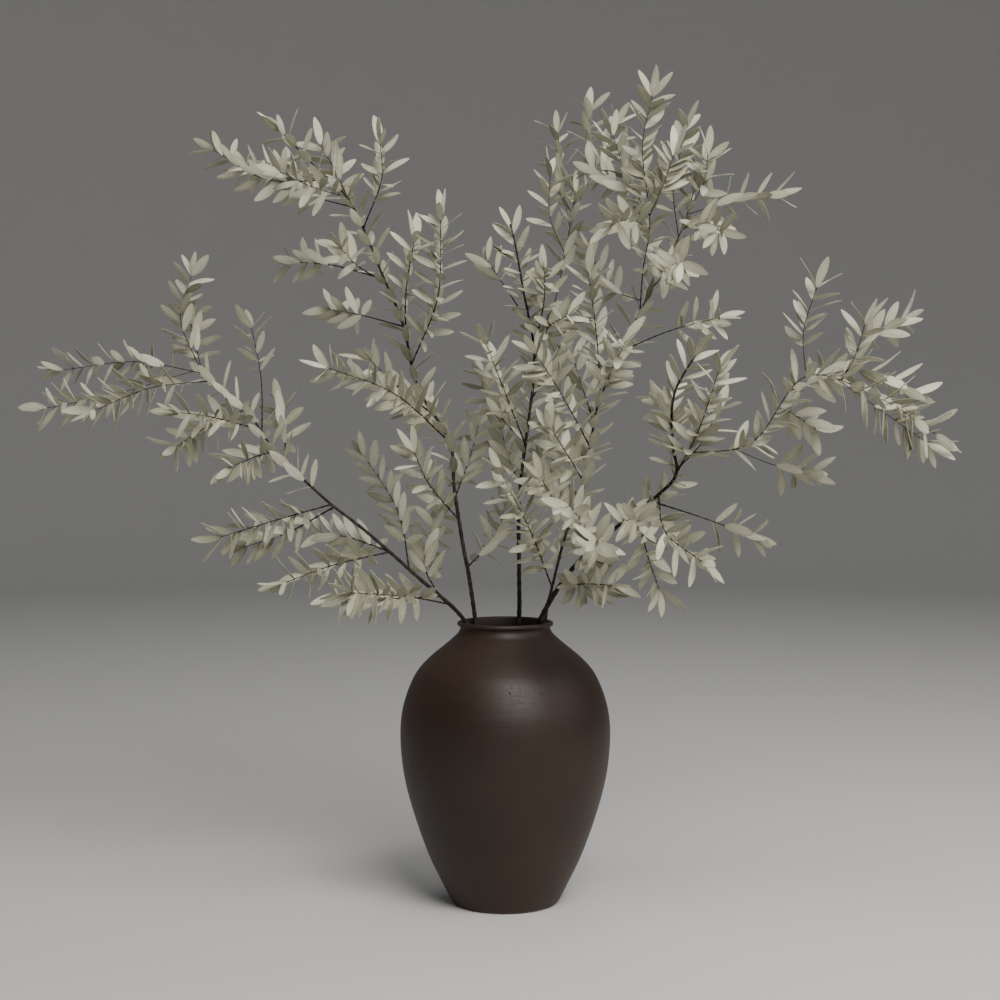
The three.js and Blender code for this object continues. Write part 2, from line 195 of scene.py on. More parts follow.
# %% Clouds: soft patches, wide or fine
clouds, given, result = new_group("clouds", {"Scale": 20.0, "Detail": 3.0, "Low": 0.35, "High": 0.65})
noise = add_node(clouds, "ShaderNodeTexNoise", (1, 0))
levels = add_node(clouds, "ShaderNodeMapRange", (3, 0), interpolation_type="SMOOTHSTEP")
clouds.links.new(given.outputs["Vector"], noise.inputs["Vector"])
clouds.links.new(given.outputs["Scale"], noise.inputs["Scale"])
clouds.links.new(given.outputs["Detail"], noise.inputs["Detail"])
clouds.links.new(noise.outputs["Fac"], levels.inputs["Value"])
clouds.links.new(given.outputs["Low"], levels.inputs["From Min"])
clouds.links.new(given.outputs["High"], levels.inputs["From Max"])
clouds.links.new(levels.outputs["Result"], result.inputs["Mask"])

# %% Spots: small round marks, with only a share of them shown
spots, given, result = new_group("spots", {"Scale": 200.0, "Size": 0.2, "Share": 0.2})
cells = add_node(spots, "ShaderNodeTexVoronoi", (1, 0))
edge = add_node(spots, "ShaderNodeMath", (2, 0), operation="SUBTRACT")
round_mark = add_node(spots, "ShaderNodeMath", (3, 0), operation="DIVIDE", use_clamp=True)
pick = add_node(spots, "ShaderNodeSeparateColor", (2, 1))
chosen = add_node(spots, "ShaderNodeMath", (3, 1), operation="LESS_THAN")
both = add_node(spots, "ShaderNodeMath", (4, 0), operation="MULTIPLY")
spots.links.new(given.outputs["Vector"], cells.inputs["Vector"])
spots.links.new(given.outputs["Scale"], cells.inputs["Scale"])
spots.links.new(given.outputs["Size"], edge.inputs[0])
spots.links.new(cells.outputs["Distance"], edge.inputs[1])
spots.links.new(edge.outputs[0], round_mark.inputs[0])
spots.links.new(given.outputs["Size"], round_mark.inputs[1])
spots.links.new(cells.outputs["Color"], pick.inputs["Color"])
spots.links.new(pick.outputs["Red"], chosen.inputs[0])
spots.links.new(given.outputs["Share"], chosen.inputs[1])
spots.links.new(round_mark.outputs[0], both.inputs[0])
spots.links.new(chosen.outputs[0], both.inputs[1])
spots.links.new(both.outputs[0], result.inputs["Mask"])
print("shared effects:", [group.name for group in bpy.data.node_groups])

# %% Helpers for materials


def new_material(name, roughness):
    """A material with its shader, ready for colour and bump, and the tree that they go in."""
    material = bpy.data.materials.new(name)
    material.use_nodes = True
    shader = material.node_tree.nodes["Principled BSDF"]
    shader.inputs["Roughness"].default_value = roughness
    return material, material.node_tree, shader


def use_group(tree, group, place, vector, **values):
    """Places a shared effect in a material, reading the given vector, and returns its mask."""
    node = add_node(tree, "ShaderNodeGroup", place, node_tree=group)
    tree.links.new(vector, node.inputs["Vector"])
    for title, value in values.items():
        node.inputs[title].default_value = value
    return node.outputs["Mask"]


def combine_values(tree, place, operation, first, second=0.0):
    """One Math node. Each value is a plain number or another node's output."""
    node = add_node(tree, "ShaderNodeMath", place, operation=operation)
    for socket, value in zip(node.inputs, (first, second)):
        if isinstance(value, float):
            socket.default_value = value
        else:
            tree.links.new(value, socket)
    return node.outputs[0]


def mix_colour(tree, place, mask, first, second, amount=1.0):
    """Mixes two colours by a mask. Each is a plain colour or another node's output."""
    if amount != 1.0:
        mask = combine_values(tree, (place[0] - 1, place[1] + 1), "MULTIPLY", mask, amount)
    node = add_node(tree, "ShaderNodeMix", place, data_type="RGBA")
    tree.links.new(mask, node.inputs["Factor"])
    for socket, colour in ((node.inputs["A"], first), (node.inputs["B"], second)):
        if isinstance(colour, tuple):
            socket.default_value = (*colour, 1)
        else:
            tree.links.new(colour, socket)
    return node.outputs["Result"]


def ramp_value(tree, place, value, low, high, at_low=0.0, at_high=1.0):
    """A value brought from one range to another, with soft ends."""
    node = add_node(tree, "ShaderNodeMapRange", place, interpolation_type="SMOOTHSTEP")
    tree.links.new(value, node.inputs["Value"])
    node.inputs["From Min"].default_value = low
    node.inputs["From Max"].default_value = high
    node.inputs["To Min"].default_value = at_low
    node.inputs["To Max"].default_value = at_high
    return node.outputs["Result"]


def add_bump(tree, shader, place, height, distance):
    """Sends a height to the shader's normal. The distance is the relief's depth in metres."""
    node = add_node(tree, "ShaderNodeBump", place)
    node.inputs["Distance"].default_value = distance
    tree.links.new(height, node.inputs["Height"])
    tree.links.new(node.outputs["Normal"], shader.inputs["Normal"])


# %% [markdown]
# ## The glaze
# The vase has a dark brown satin glaze: matte enough to blur a lamp into a broad soft glow, with faint
# rings left by the potter's fingers, cloudy patches where the glaze ran thicker, and a few pinholes on
# the shoulder where gas escaped in the kiln, painted near black inside as painted shade. The foot was
# wiped clean, so its underside is bare clay.
# Rings are made from the same clouds effect, squeezed along Z so that each patch becomes a thin band
# round the body.

# %% Dark brown glaze
GLAZE_ROUGHNESS = 0.5
GLAZE_UNEVEN = 0.04  # how much smoother or rougher the grain makes it
GLAZE_SHINE = 0.4
GLAZE_RELIEF = 0.25 * MM
THICK_GLAZE = (0.0170, 0.0086, 0.0045)
THIN_GLAZE = (0.0320, 0.0166, 0.0088)
RING_BROWN = (0.0235, 0.0126, 0.0071)
PINHOLE_PAINTED_SHADE = (0.006, 0.004, 0.003)
# near black for the pinholes: painted shade inside them, not a colour of the glaze
BARE_CLAY = (0.105, 0.066, 0.045)
SHOULDER = (212 * MM, 242 * MM, 266 * MM)  # where the pinholes start, are most and end
FOOT_LINE = 2.2 * MM
RING_SQUEEZE = 0.05

glaze, tree, shader = new_material("dark_brown_glaze", GLAZE_ROUGHNESS)
shader.inputs["Specular IOR Level"].default_value = GLAZE_SHINE
place = add_node(tree, "ShaderNodeTexCoord", (-9, 0)).outputs["Object"]
up_axis = add_node(tree, "ShaderNodeSeparateXYZ", (-8, 3))
tree.links.new(place, up_axis.inputs["Vector"])
squeeze = add_node(tree, "ShaderNodeMapping", (-8, -2))
squeeze.inputs["Scale"].default_value = (RING_SQUEEZE, RING_SQUEEZE, 1.0)
tree.links.new(place, squeeze.inputs["Vector"])
patches = use_group(tree, clouds, (-6, 0), place, Scale=7.0, Low=0.3, High=0.7)
grain = use_group(tree, clouds, (-6, 1), place, Scale=420.0, Detail=2.0, Low=0.2, High=0.8)
rings = use_group(tree, clouds, (-6, -1), squeeze.outputs["Vector"], Scale=150.0, Low=0.25, High=0.75)
pinholes = use_group(tree, spots, (-6, 2), place, Scale=280.0, Size=0.25, Share=0.3)
above_belly = ramp_value(tree, (-6, 3), up_axis.outputs["Z"], SHOULDER[0], SHOULDER[1])
below_neck = ramp_value(tree, (-6, 4), up_axis.outputs["Z"], SHOULDER[1], SHOULDER[2], 1.0, 0.0)
on_shoulder = combine_values(tree, (-4, 3), "MULTIPLY", above_belly, below_neck)
holes = combine_values(tree, (-3, 3), "MULTIPLY", on_shoulder, pinholes)

body = mix_colour(tree, (-4, 0), patches, THICK_GLAZE, THIN_GLAZE)
body = mix_colour(tree, (-3, 0), rings, body, RING_BROWN, 0.35)
# painted shade: the pinholes are darkened to near black as the shade that falls inside them
body = mix_colour(tree, (-1, 0), holes, body, PINHOLE_PAINTED_SHADE, 0.9)
foot = ramp_value(tree, (-1, 2), up_axis.outputs["Z"], FOOT_LINE / 2, FOOT_LINE, 1.0, 0.0)
body = mix_colour(tree, (0, 0), foot, body, BARE_CLAY)
tree.links.new(body, shader.inputs["Base Color"])

smoothest, roughest = GLAZE_ROUGHNESS - GLAZE_UNEVEN, GLAZE_ROUGHNESS + GLAZE_UNEVEN
gloss = ramp_value(tree, (-2, -2), grain, 0.0, 1.0, smoothest, roughest)
dull_holes = combine_values(tree, (-2, -1), "MULTIPLY", holes, 0.5)
gloss = combine_values(tree, (-1, -2), "ADD", gloss, dull_holes)
tree.links.new(gloss, shader.inputs["Roughness"])
low_rings = combine_values(tree, (-3, -3), "MULTIPLY", rings, 0.28)
low_grain = combine_values(tree, (-3, -4), "MULTIPLY", grain, 0.12)
relief = combine_values(tree, (-2, -3), "ADD", low_rings, low_grain)
hollows = combine_values(tree, (-1, -4), "MULTIPLY", holes, -2.6)
relief = combine_values(tree, (-1, -3), "ADD", relief, hollows)
add_bump(tree, shader, (0, -3), relief, GLAZE_RELIEF)
print("glaze made:", glaze.name)

# %% [markdown]
# ## The vase
# A thrown vase is round about its axis, so it could be spun from a profile. Here it is drawn up from
# its foot as a potter would: a low cone is the foot, and its top face is extruded and resized ring by
# ring, up the outside, over the rolled lip and down the inside to the floor. That keeps one closed wall
# with a real thickness all the way, and the base and inner floor are plain faces with a support ring,
# so that smoothing leaves them flat.

# %% The vase's sizes
BASE_RADIUS = 56 * MM
FOOT = (58.6 * MM, 3 * MM)
FOOT_INSET = 4 * MM
FLOOR = 9 * MM
INSIDE_FLOOR_RADIUS = 38 * MM
FLOOR_SUPPORT = 0.8  # the support ring's share of the floor's radius
LIP_RADIUS = 48.7 * MM
LIP_HEIGHT = 297 * MM
LIP_ROLL = 2.7 * MM
LIP_START = -108  # degrees round the middle of the roll
LIP_TURN = 36
LIP_RINGS = 9
GROOVE_RADIUS = 47.9 * MM
VASE_SIDES = 64
RING_STEPS = 3
SMOOTH_LEVELS = 2
# Radius and height, in millimetres, of points up the outside and down the inside of the wall.
OUTSIDE = [
    (58.6, 3), (67, 20), (81.5, 50), (96, 90), (107, 130), (111.6, 165),
    (111.4, 195), (106, 220), (95, 245), (79.5, 262), (63.5, 275), (50, 287)]
INSIDE = [
    (44.6, 290), (47, 282.5), (60, 270), (90, 239), (105.4, 194), (101, 132), (76, 55), (54, 15)]


def smooth_route(points, steps):
    """Points along a smooth curve through the given ones, with so many steps between two of them."""
    ends = [2 * points[0] - points[1], *points, 2 * points[-1] - points[-2]]
    line = [points[0]]
    for before, start, end, after in zip(ends, ends[1:], ends[2:], ends[3:]):
        leave = start + (end - before) / 6
        arrive = end - (after - start) / 6
        line += geometry.interpolate_bezier(start, leave, arrive, end, steps + 1)[1:]
    return line


def wall_rings(profile):
    """Radius and height of rings on a smooth profile through the given points."""
    points = [Vector((radius * MM, 0, height * MM)) for radius, height in profile]
    return [(point.x, point.z) for point in smooth_route(points, RING_STEPS)]


lip_angles = [math.radians(LIP_START + LIP_TURN * i) for i in range(LIP_RINGS)]
lip = [
    (LIP_RADIUS + LIP_ROLL * math.cos(angle), LIP_HEIGHT + LIP_ROLL * math.sin(angle))
    for angle in lip_angles]
groove = [(GROOVE_RADIUS, LIP_HEIGHT - 2 * LIP_ROLL)]
inner_floor = [(INSIDE_FLOOR_RADIUS, FLOOR), (INSIDE_FLOOR_RADIUS * FLOOR_SUPPORT, FLOOR)]
wall = wall_rings(OUTSIDE)[1:] + groove + lip + wall_rings(INSIDE) + inner_floor
print("the wall has", len(wall), "rings of", VASE_SIDES)

# %% Draw the vase up from its foot
start_piece()
bpy.ops.mesh.primitive_cone_add(
    vertices=VASE_SIDES, radius1=BASE_RADIUS, radius2=FOOT[0], depth=FOOT[1],
    location=(0, 0, FOOT[1] / 2))
vase = bpy.context.object
bpy.ops.object.mode_set(mode="EDIT")
bpy.ops.mesh.select_mode(type="VERT")
bpy.ops.mesh.select_all(action="DESELECT")
select_where(lambda place: place.z > 0)
radius, height = FOOT
for next_radius, next_height in wall:
    rise = (0, 0, next_height - height)
    bpy.ops.mesh.extrude_region_move(TRANSFORM_OT_translate={"value": rise})
    grow = next_radius / radius
    bpy.ops.transform.resize(value=(grow, grow, 1))
    radius, height = next_radius, next_height
select_where(lambda place: place.z < -0.4 * FOOT[1])
bpy.ops.mesh.inset(thickness=FOOT_INSET)
bpy.ops.mesh.select_all(action="SELECT")
bpy.ops.mesh.normals_make_consistent(inside=False)
bpy.ops.object.mode_set(mode="OBJECT")
bpy.ops.object.transform_apply(location=True)

# %% Smooth the wall
bpy.ops.object.modifier_add(type="SUBSURF")
vase.modifiers[0].levels = SMOOTH_LEVELS
vase.modifiers[0].render_levels = SMOOTH_LEVELS
bpy.ops.object.modifier_apply(modifier=vase.modifiers[0].name)
bpy.ops.object.shade_smooth()
finish_piece(vase, "glazed_vase", glaze, "vase_glaze", "vase")
print("rim at", round(max(vertex.co.z for vertex in vase.data.vertices), 4), "m")

# %% [markdown]
# ## Bark and dried leaf
# The twigs are nearly black and dull, so they read as thin dark lines; broken patches and small pores
# are enough at their size. The leaves carry the light of the whole piece. They have dried to a pale
# grey-beige, each a little different, greener along the margin, with a faint midrib and side veins.
# Veins have to follow the blade, so they are drawn from the leaf's own UV map: U runs from root to tip
# and V across. Each leaf's own tint is a number kept on its vertices, called tone.

# %% Bark
DARK_BARK = (0.0130, 0.0095, 0.0075)
WORN_BARK = (0.0480, 0.0360, 0.0270)
PORE_BROWN = (0.085, 0.066, 0.050)
BARK_RELIEF = 0.3 * MM

bark, tree, shader = new_material("dark_bark", 0.72)
shader.inputs["Specular IOR Level"].default_value = 0.25
place = add_node(tree, "ShaderNodeTexCoord", (-6, 0)).outputs["Object"]
scuffs = use_group(tree, clouds, (-4, 0), place, Scale=140.0, Detail=4.0, Low=0.4, High=0.75)
pores = use_group(tree, spots, (-4, 1), place, Scale=620.0, Size=0.3, Share=0.3)
colour = mix_colour(tree, (-2, 0), scuffs, DARK_BARK, WORN_BARK)
colour = mix_colour(tree, (-1, 0), pores, colour, PORE_BROWN, 0.5)
tree.links.new(colour, shader.inputs["Base Color"])
roughened = combine_values(tree, (-2, -2), "ADD", scuffs, pores)
add_bump(tree, shader, (-1, -2), roughened, BARK_RELIEF)

# %% Dried leaf
PALE_LEAF = (0.560, 0.552, 0.436)
DEEP_LEAF = (0.205, 0.206, 0.136)
MOTTLE_BEIGE = (0.390, 0.377, 0.285)
MARGIN_GREEN = (0.235, 0.250, 0.140)
FRECKLE_BROWN = (0.280, 0.264, 0.184)
SIDE_VEIN_PALE = (0.590, 0.580, 0.474)
MIDRIB_PALE = (0.610, 0.596, 0.484)
LEAF_RELIEF = 0.15 * MM
SIDE_VEINS = 9.0  # how many the blade has from root to tip
VEIN_SLANT = -5.0

leaf_skin, tree, shader = new_material("dried_leaf", 0.6)
shader.inputs["Specular IOR Level"].default_value = 0.35
place = add_node(tree, "ShaderNodeTexCoord", (-9, 0)).outputs["Object"]
blade = add_node(tree, "ShaderNodeUVMap", (-9, -2), uv_map="UVMap").outputs["UV"]
tone = add_node(tree, "ShaderNodeAttribute", (-9, 2), attribute_name="tone").outputs["Fac"]
along_across = add_node(tree, "ShaderNodeSeparateXYZ", (-8, -2))
tree.links.new(blade, along_across.inputs["Vector"])
centred = combine_values(tree, (-7, -2), "SUBTRACT", along_across.outputs["Y"], 0.5)
from_midrib = combine_values(tree, (-6, -2), "ABSOLUTE", centred)
midrib = ramp_value(tree, (-5, -2), from_midrib, 0.02, 0.07, 1.0, 0.0)
margin = ramp_value(tree, (-5, -3), from_midrib, 0.36, 0.5)
along = combine_values(tree, (-6, -4), "MULTIPLY", along_across.outputs["X"], SIDE_VEINS)
aside = combine_values(tree, (-6, -5), "MULTIPLY", from_midrib, VEIN_SLANT)
slant = combine_values(tree, (-5, -4), "ADD", along, aside)
wave = combine_values(tree, (-4, -4), "PINGPONG", slant, 0.5)
side_veins = ramp_value(tree, (-3, -4), wave, 0.0, 0.12, 1.0, 0.0)
mottle = use_group(tree, clouds, (-7, 0), place, Scale=75.0, Low=0.3, High=0.7)
freckle = use_group(tree, clouds, (-7, 1), place, Scale=600.0, Detail=2.0, Low=0.55, High=0.75)

colour = mix_colour(tree, (-5, 1), tone, PALE_LEAF, DEEP_LEAF)
colour = mix_colour(tree, (-4, 0), mottle, colour, MOTTLE_BEIGE, 0.5)
colour = mix_colour(tree, (-3, 0), margin, colour, MARGIN_GREEN, 0.5)
colour = mix_colour(tree, (-2, 0), freckle, colour, FRECKLE_BROWN, 0.3)
colour = mix_colour(tree, (-1, 0), side_veins, colour, SIDE_VEIN_PALE, 0.2)
colour = mix_colour(tree, (0, 0), midrib, colour, MIDRIB_PALE, 0.4)
tree.links.new(colour, shader.inputs["Base Color"])
low_veins = combine_values(tree, (-3, -3), "MULTIPLY", side_veins, 0.5)
ridges = combine_values(tree, (-2, -3), "ADD", midrib, low_veins)
add_bump(tree, shader, (-1, -3), ridges, LEAF_RELIEF)
print("bark and leaf made")

# %% [markdown]
# ## One leaf, five ways
# There are more than two thousand leaves, so one is modelled with few faces and copied. A flat grid is
# given the leaf's outline column by column: each column is resized to the blade's width there, moved
# back so that the blade arches, and turned a little so that it twists; the middle row is pressed down
# to fold the blade along its midrib. Drying curls every leaf its own way, so five patterns are made
# with different arch, fold, twist and sway. The ends are merged to points and Solidify gives the blade
# a thickness.

# %% The leaf's sizes
LEAF_LENGTH = 31 * MM
LEAF_WIDTH = 9 * MM
LEAF_THICKNESS = 0.35 * MM
LEAF_PIECES = 8
LEAF_ROUNDNESS = 0.7
# Arch and sway are in millimetres, fold is a share of half the leaf's width, and twist is in degrees.
LEAF_PATTERNS = [
    {"arch": 3, "fold": 0.09, "twist": 8, "sway": 0.0},
    {"arch": 5, "fold": 0.13, "twist": -20, "sway": 0.8},
    {"arch": 1.5, "fold": 0.05, "twist": 14, "sway": -1.0},
    {"arch": 4, "fold": 0.18, "twist": 32, "sway": 0.5},
    {"arch": -1.5, "fold": 0.12, "twist": -10, "sway": -0.6},
]


def select_column(index, middle_only=False):
    """Selects one column of the leaf's grid, counted from its root, or only the middle of it."""
    shape = bmesh.from_edit_mesh(bpy.context.object.data)
    columns = sorted(shape.verts, key=lambda vertex: round(vertex.co.x, 6))
    for vertex in shape.verts:
        vertex.select_set(False)
    column = sorted(columns[3 * index:3 * index + 3], key=lambda vertex: vertex.co.y)
    for vertex in column[1:2] if middle_only else column:
        vertex.select_set(True)
    shape.select_flush_mode()
    bmesh.update_edit_mesh(bpy.context.object.data)


def model_leaf(number, arch, fold, twist, sway):
    """One leaf pattern, with its root at the origin, its tip towards +X and its upper face towards +Z."""
    start_piece()
    bpy.ops.mesh.primitive_grid_add(x_subdivisions=LEAF_PIECES, y_subdivisions=2, size=LEAF_LENGTH)
    leaf = bpy.context.object
    leaf.name = f"leaf_pattern_{number}"
    bpy.ops.object.mode_set(mode="EDIT")
    bpy.ops.mesh.select_mode(type="VERT")
    for i in reversed(range(LEAF_PIECES + 1)):
        share = (1 - math.cos(math.pi * i / LEAF_PIECES)) / 2
        breadth = (4 * share * (1 - share)) ** LEAF_ROUNDNESS
        back = -arch * MM * share ** 2
        aside = sway * MM * math.sin(math.pi * share)
        forward = LEAF_LENGTH * (share + 0.5 - i / LEAF_PIECES)
        select_column(i)
        bpy.ops.transform.resize(value=(1, breadth * LEAF_WIDTH / LEAF_LENGTH, 1))
        bpy.ops.transform.translate(value=(forward, aside, back))
        centre = (LEAF_LENGTH * share, aside, back)
        turn = math.radians(twist) * share
        bpy.ops.transform.rotate(value=turn, orient_axis="X", center_override=centre)
        select_column(i, middle_only=True)
        bpy.ops.transform.translate(value=(0, 0, -fold * breadth * LEAF_WIDTH / 2))
    for end in (LEAF_PIECES, 0):
        select_column(end)
        bpy.ops.mesh.merge(type="CENTER")
    bpy.ops.object.mode_set(mode="OBJECT")
    bpy.ops.object.modifier_add(type="SOLIDIFY")
    leaf.modifiers[0].thickness = LEAF_THICKNESS
    leaf.modifiers[0].offset = 0
    bpy.ops.object.modifier_apply(modifier=leaf.modifiers[0].name)
    bpy.ops.object.shade_smooth_by_angle(angle=math.radians(50))
    return leaf


# %% Model the five patterns
patterns = [model_leaf(number, **pattern) for number, pattern in enumerate(LEAF_PATTERNS)]
print("one leaf has", len(patterns[0].data.polygons), "faces")

# %% [markdown]
# ## Where the branches run
# Each branch is one grown thing: a stem that stands on the floor of the vase, leans on its lip and
# opens out, with side shoots springing from it. The routes were chosen from the picture and given
# depth so that the fan is full from every side. They are only points to pass near: the curve between
# them is worked out later. The radius is the stem's at its foot, and bare is the share of a stem or
# shoot, from its start, that carries no leaves. Dried branches drop leaves where they were packed
# together, so a worn shoot has kept only those of its outer part.

# %% Leafy and worn shoots
LEAFY_BARE = 0.14
WORN_BARE = 0.52


def leafy(*route):
    """A side shoot with leaves along nearly all of it."""
    return {"bare": LEAFY_BARE, "route": route}


def worn(*route):
    """A side shoot with leaves on its outer part only."""
    return {"bare": WORN_BARE, "route": route}


print("a leafy shoot is bare for", LEAFY_BARE, "of its length and a worn one for", WORN_BARE)


# %% The left branch
# It leans out low over the lip and carries the furthest sprays on the left.
left = {
    "node": "branch_left",
    "radius": 0.0032,
    "bare": 0.72,
    "stem": [
        (0.004, -0.024, 0.009), (-0.004, -0.016, 0.13), (-0.018, -0.009, 0.25), (-0.0447, 0, 0.3019),
        (-0.09, -0.01, 0.345), (-0.145, -0.02, 0.395), (-0.19, -0.015, 0.43), (-0.245, 0.01, 0.48),
        (-0.28, 0.03, 0.525), (-0.33, 0.05, 0.565),
    ],
    "shoots": [
        leafy((-0.33, 0.05, 0.565), (-0.405, 0.062, 0.578), (-0.482, 0.045, 0.568)),
        leafy((-0.34, 0.05, 0.565), (-0.42, 0.01, 0.54), (-0.48, -0.03, 0.525)),
        leafy((-0.325, 0.04, 0.555), (-0.375, -0.005, 0.547), (-0.425, -0.05, 0.522)),
        leafy((-0.33, 0.05, 0.565), (-0.357, 0.07, 0.625), (-0.346, 0.08, 0.675)),
        leafy((-0.325, 0.055, 0.568), (-0.347, 0.095, 0.608), (-0.358, 0.12, 0.64)),
        worn((-0.26, 0.02, 0.5), (-0.27, 0.08, 0.56), (-0.285, 0.11, 0.62)),
        leafy((-0.28, 0.03, 0.525), (-0.31, 0, 0.51), (-0.34, -0.05, 0.485)),
        leafy((-0.245, 0.01, 0.48), (-0.26, -0.03, 0.475), (-0.28, -0.06, 0.465)),
        leafy((-0.235, 0.005, 0.47), (-0.24, 0.05, 0.505), (-0.25, 0.08, 0.53)),
        leafy((-0.27, -0.005, 0.51), (-0.3, -0.045, 0.515), (-0.33, -0.08, 0.52)),
        leafy((-0.185, -0.015, 0.42), (-0.235, -0.06, 0.41), (-0.285, -0.1, 0.395)),
        leafy((-0.18, -0.015, 0.42), (-0.235, 0.02, 0.392), (-0.285, 0.06, 0.375)),
        leafy((-0.12, -0.015, 0.375), (-0.175, -0.08, 0.365), (-0.22, -0.12, 0.35)),
        leafy((-0.12, -0.015, 0.375), (-0.165, 0.04, 0.385), (-0.205, 0.08, 0.39)),
        leafy((-0.07, -0.005, 0.325), (-0.115, -0.09, 0.332), (-0.165, -0.15, 0.342)),
        worn((-0.06, -0.005, 0.315), (-0.1, -0.1, 0.335), (-0.15, -0.17, 0.345)),
        leafy((-0.1, -0.01, 0.355), (-0.118, 0.06, 0.415), (-0.16, 0.12, 0.475)),
        leafy((-0.075, -0.005, 0.33), (-0.088, 0.06, 0.36), (-0.072, 0.15, 0.42)),
    ],
}

# %% The tall left branch
# It rises almost straight, then bows to the left in one heavy head.
tall_left = {
    "node": "branch_tall_left",
    "radius": 0.003,
    "bare": 0.5,
    "stem": [
        (-0.013, -0.02, 0.009), (-0.017, 0, 0.12), (-0.027, 0.022, 0.24), (-0.0323, 0.0276, 0.297),
        (-0.04, 0.03, 0.35), (-0.045, 0.03, 0.375), (-0.055, 0.03, 0.44), (-0.06, 0.035, 0.49),
        (-0.095, 0.04, 0.55), (-0.11, 0.04, 0.615), (-0.13, 0.03, 0.665), (-0.165, 0.02, 0.745),
        (-0.2, 0.005, 0.78), (-0.225, -0.005, 0.805), (-0.245, -0.01, 0.825),
    ],
    "shoots": [
        leafy((-0.055, 0.03, 0.405), (-0.08, -0.015, 0.445), (-0.095, -0.04, 0.48)),
        leafy((-0.06, 0.035, 0.49), (-0.115, -0.04, 0.54), (-0.18, -0.09, 0.565)),
        leafy((-0.08, 0.035, 0.52), (-0.11, -0.01, 0.545), (-0.14, -0.04, 0.575)),
        leafy((-0.04, 0.03, 0.355), (-0.01, 0.09, 0.385), (0, 0.13, 0.42)),
        leafy((-0.05, 0.03, 0.43), (-0.04, 0.095, 0.47), (-0.03, 0.145, 0.51)),
        leafy((-0.11, 0.04, 0.605), (-0.105, 0, 0.65), (-0.095, -0.025, 0.7)),
        leafy((-0.1, 0.04, 0.575), (-0.07, -0.04, 0.64), (-0.065, -0.09, 0.715)),
        leafy((-0.185, 0.01, 0.77), (-0.26, 0.05, 0.775), (-0.32, 0.07, 0.81)),
        leafy((-0.155, 0.025, 0.72), (-0.13, -0.01, 0.765), (-0.13, -0.03, 0.8)),
        leafy((-0.17, 0.02, 0.75), (-0.185, 0.06, 0.785), (-0.205, 0.09, 0.82)),
        leafy((-0.17, 0.02, 0.75), (-0.2, -0.025, 0.755), (-0.23, -0.06, 0.765)),
        leafy((-0.2, 0.01, 0.77), (-0.245, 0.07, 0.785), (-0.29, 0.11, 0.795)),
        worn((-0.165, 0.02, 0.74), (-0.2, 0.06, 0.755), (-0.225, 0.1, 0.77)),
        worn((-0.13, 0.03, 0.665), (-0.19, 0.08, 0.685), (-0.24, 0.12, 0.693)),
        worn((-0.11, 0.04, 0.615), (-0.165, 0.14, 0.635), (-0.205, 0.19, 0.645)),
        worn((-0.13, 0.03, 0.66), (-0.155, -0.01, 0.675), (-0.17, -0.045, 0.69)),
        leafy((-0.08, 0.035, 0.52), (-0.095, 0.14, 0.52), (-0.1, 0.235, 0.54)),
    ],
}

# %% The centre branch
# It stands upright and has the fewest shoots.
centre = {
    "node": "branch_centre",
    "radius": 0.0035,
    "bare": 0.6,
    "stem": [
        (-0.024, 0.004, 0.009), (-0.012, 0.014, 0.12), (0.008, 0.032, 0.24), (0.015, 0.0388, 0.297),
        (0.015, 0.025, 0.355), (0.015, 0.01, 0.43), (0.025, 0.005, 0.515), (0.03, 0.005, 0.555),
        (0.03, 0.01, 0.595), (0.02, -0.005, 0.645), (0.01, -0.035, 0.695), (0.005, -0.04, 0.715),
    ],
    "shoots": [
        worn((0.025, 0.005, 0.61), (0.005, 0.04, 0.65), (-0.02, 0.075, 0.69)),
        leafy((0.03, 0.01, 0.59), (0.04, -0.025, 0.635), (0.04, -0.06, 0.665)),
        leafy((0.02, 0.005, 0.485), (0, -0.045, 0.54), (-0.02, -0.08, 0.59)),
        worn((0.03, 0.01, 0.575), (0.055, 0.07, 0.645), (0.07, 0.12, 0.715), (0.08, 0.13, 0.775)),
        leafy((0.07, 0.12, 0.735), (0.065, 0.145, 0.79), (0.06, 0.155, 0.845)),
        worn((0.07, 0.12, 0.725), (0.095, 0.17, 0.8), (0.1, 0.205, 0.88)),
        leafy((0.015, 0.01, 0.43), (0.04, 0.07, 0.465), (0.05, 0.12, 0.51)),
        leafy((0.04, 0.07, 0.465), (0.06, 0.11, 0.465), (0.085, 0.15, 0.485)),
        leafy((0.015, 0.01, 0.445), (0, 0.075, 0.485), (-0.005, 0.115, 0.53)),
        leafy((0.02, 0.005, 0.485), (-0.01, 0.06, 0.525), (-0.025, 0.105, 0.565)),
        leafy((0.025, 0.01, 0.535), (0.045, 0.05, 0.565), (0.065, 0.08, 0.605)),
        leafy((0.03, 0.01, 0.59), (0.045, -0.03, 0.61), (0.065, -0.06, 0.62)),
        leafy((0.065, 0.11, 0.7), (0.05, 0.095, 0.74), (0.05, 0.09, 0.785)),
        leafy((0.075, 0.13, 0.76), (0.105, 0.115, 0.8), (0.125, 0.1, 0.845)),
    ],
}

